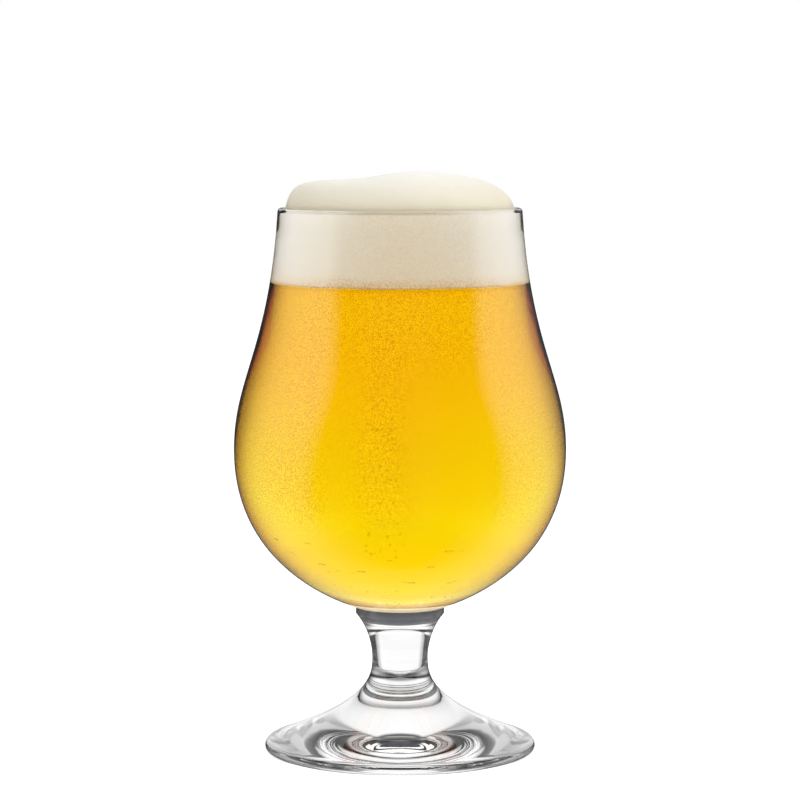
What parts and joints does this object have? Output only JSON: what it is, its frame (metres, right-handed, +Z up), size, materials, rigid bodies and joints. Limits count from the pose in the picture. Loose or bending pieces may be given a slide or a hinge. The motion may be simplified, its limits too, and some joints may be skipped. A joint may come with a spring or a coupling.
{
  "type": "stemmed beer glass",
  "caption": "Stemmed tulip beer glass with a round belly, narrow rim, waisted stem and broad foot, filled with lager under a domed head of foam.",
  "frame": {"origin": "centre of the ring on which the foot stands, at table height", "axes": "+Z up along the glass's axis, -Y towards the viewer of the picture, +X to that viewer's right"},
  "size_m": [0.0928, 0.0928, 0.1626],
  "materials": {
    "clear_glass": "polished",
    "lager": "polished",
    "beer_foam": "matte"
  },
  "bodies": {
    "root": {"bowl": "clear_glass", "stem": "clear_glass", "foot": "clear_glass", "beer": "lager", "foam_head": "beer_foam"}
  },
  "joints": []
}
